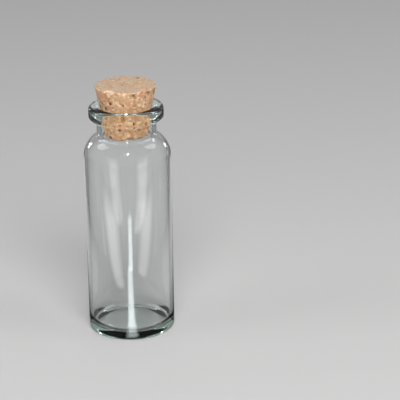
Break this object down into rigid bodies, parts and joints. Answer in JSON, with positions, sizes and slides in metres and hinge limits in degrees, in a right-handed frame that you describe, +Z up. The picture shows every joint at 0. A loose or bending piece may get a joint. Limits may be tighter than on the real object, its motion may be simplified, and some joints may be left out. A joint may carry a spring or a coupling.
{
  "type": "corked glass sample vial",
  "caption": "Small upright clear glass sample vial with a domed base, round shoulder, short neck and thick rolled rim, closed by a tapered agglomerated cork that pulls out.",
  "frame": {"origin": "centre of the standing ring under the base, on the surface the vial stands on", "axes": "+Z up along the vial's axis, out through the mouth; the vial is round, so +X and +Y are any two level directions"},
  "size_m": [0.022, 0.022, 0.0647],
  "materials": {
    "glass": "fire-polished clear soda-lime glass with a faint green tint in the thick rim",
    "cork": "ground agglomerated cork: tan and pinkish granules with darker brown bark specks and open pits"
  },
  "bodies": {
    "vial": {"glass_vial": "glass"},
    "cork": {"cork_stopper": "cork"}
  },
  "joints": [
    {"name": "cork_pull", "type": "slide", "parent": "vial", "child": "cork", "axis": [0, 0, 1], "range_m": [0, 0.025]}
  ]
}
